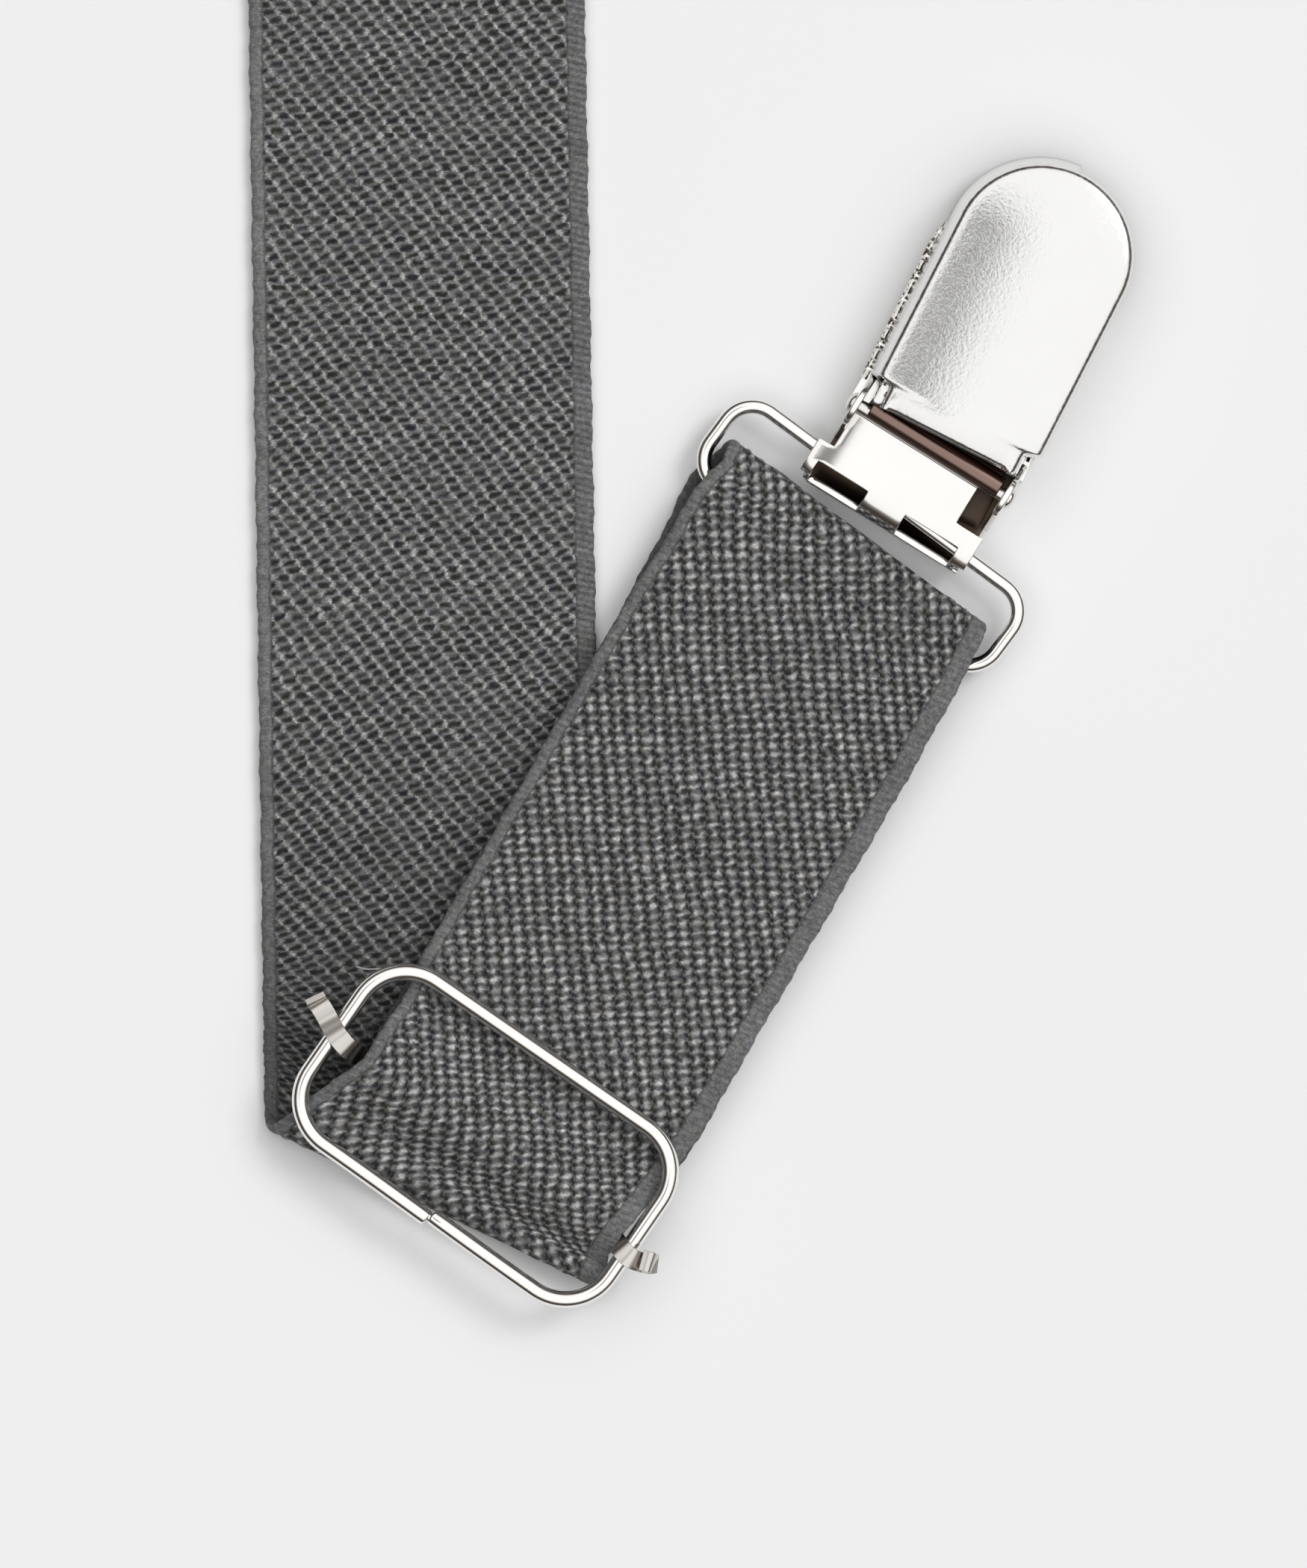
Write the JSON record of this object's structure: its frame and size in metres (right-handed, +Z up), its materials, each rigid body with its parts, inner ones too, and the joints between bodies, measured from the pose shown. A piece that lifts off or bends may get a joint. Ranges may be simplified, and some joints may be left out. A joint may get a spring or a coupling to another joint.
{
  "type": "clip-on suspenders",
  "caption": "Y-back clip-on suspenders folded flat: elastic webbing straps joined by a leather yoke, wire slide adjusters and chrome clips with hinged covers on wire rings.",
  "frame": {"origin": "middle of the folded suspenders' footprint, on the surface they lie on", "axes": "+Y from the adjusters towards the yoke, +Z up from the surface, +X to the right seen from above"},
  "size_m": [0.1666, 0.3466, 0.0105],
  "materials": {
    "webbing": "two-tone grey woven elastic webbing with smooth selvedges",
    "leather": "black grained leather, stitched edge",
    "chrome_wire": "bright plated round wire",
    "steel_strip": "plated stamped strip",
    "chrome_body": "bright plated pressed sheet",
    "chrome_cover": "bright plated smooth cover",
    "steel_jaw": "plated spring steel",
    "steel_pin": "plated pin",
    "grip_pad": "moulded plastic"
  },
  "bodies": {
    "root": {"strap_left": "webbing", "strap_right": "webbing", "strap_back": "webbing", "yoke_front": "leather", "yoke_back": "leather", "slider_bar_left": "steel_strip", "slider_bar_right": "steel_strip"},
    "ring_left": {"clip_ring_left": "chrome_wire"},
    "clip_left": {"clip_body_left": "chrome_body", "clip_pin_left": "steel_pin", "jaw_grip_left": "grip_pad"},
    "lever_left": {"clip_lever_left": "chrome_cover"},
    "jaw_left": {"clip_jaw_left": "steel_jaw"},
    "ring_right": {"clip_ring_right": "chrome_wire"},
    "clip_right": {"clip_body_right": "chrome_body", "clip_pin_right": "steel_pin", "jaw_grip_right": "grip_pad"},
    "lever_right": {"clip_lever_right": "chrome_cover"},
    "jaw_right": {"clip_jaw_right": "steel_jaw"},
    "ring_back": {"clip_ring_back": "chrome_wire"},
    "clip_back": {"clip_body_back": "chrome_body", "clip_pin_back": "steel_pin", "jaw_grip_back": "grip_pad"},
    "lever_back": {"clip_lever_back": "chrome_cover"},
    "jaw_back": {"clip_jaw_back": "steel_jaw"},
    "slider_left": {"slider_frame_left": "chrome_wire"},
    "slider_right": {"slider_frame_right": "chrome_wire"}
  },
  "joints": [
    {"name": "ring_left_swing", "type": "hinge", "parent": "root", "child": "ring_left", "pos_m": [-0.01961, -0.09693, 0.00243], "axis": [0.8039, -0.5948, 0], "range_deg": [-8, 50]},
    {"name": "clip_left_swing", "type": "hinge", "parent": "ring_left", "child": "clip_left", "pos_m": [-0.01396, -0.08929, 0.003], "axis": [0.8039, -0.5948, 0], "range_deg": [-60, 50]},
    {"name": "lever_left_open", "type": "hinge", "parent": "clip_left", "child": "lever_left", "pos_m": [-0.00973, -0.08421, 0.0056], "axis": [0.848, -0.5299, 0], "range_deg": [0, 75]},
    {"name": "jaw_left_lift", "type": "hinge", "parent": "clip_left", "child": "jaw_left", "pos_m": [-0.00783, -0.08116, 0.002], "axis": [0.848, -0.5299, 0], "range_deg": [0, 4.5]},
    {"name": "ring_right_swing", "type": "hinge", "parent": "root", "child": "ring_right", "pos_m": [0.06237, -0.08781, 0.00393], "axis": [1, 0, 0], "range_deg": [0, 50]},
    {"name": "clip_right_swing", "type": "hinge", "parent": "ring_right", "child": "clip_right", "pos_m": [0.06237, -0.07831, 0.0045], "axis": [1, 0, 0], "range_deg": [0, 50]},
    {"name": "lever_right_open", "type": "hinge", "parent": "clip_right", "child": "lever_right", "pos_m": [0.06237, -0.07171, 0.0071], "axis": [1, 0, 0], "range_deg": [0, 75]},
    {"name": "jaw_right_lift", "type": "hinge", "parent": "clip_right", "child": "jaw_right", "pos_m": [0.06237, -0.06811, 0.0035], "axis": [1, 0, 0], "range_deg": [0, 4.5]},
    {"name": "ring_back_swing", "type": "hinge", "parent": "root", "child": "ring_back", "pos_m": [-0.00053, 0.02819, 0.00243], "axis": [-1, 0, 0], "range_deg": [-8, 50]},
    {"name": "clip_back_swing", "type": "hinge", "parent": "ring_back", "child": "clip_back", "pos_m": [-0.00053, 0.01869, 0.003], "axis": [-1, 0, 0], "range_deg": [-60, 50]},
    {"name": "lever_back_open", "type": "hinge", "parent": "clip_back", "child": "lever_back", "pos_m": [-0.00053, 0.01209, 0.0056], "axis": [-1, 0, 0], "range_deg": [0, 75]},
    {"name": "jaw_back_lift", "type": "hinge", "parent": "clip_back", "child": "jaw_back", "pos_m": [-0.00053, 0.00849, 0.002], "axis": [-1, 0, 0], "range_deg": [0, 4.5]},
    {"name": "slider_left_shift", "type": "slide", "parent": "root", "child": "slider_left", "axis": [0.5678, 0.8231, 0], "range_m": [-0.0015, 0.0015]},
    {"name": "slider_right_shift", "type": "slide", "parent": "root", "child": "slider_right", "axis": [0, 1, 0], "range_m": [-0.0015, 0.0015]}
  ],
  "couplings": [
    {"joint": "jaw_left_lift", "follows": "lever_left_open", "ratio": 0.06},
    {"joint": "jaw_right_lift", "follows": "lever_right_open", "ratio": 0.06},
    {"joint": "jaw_back_lift", "follows": "lever_back_open", "ratio": 0.06}
  ]
}
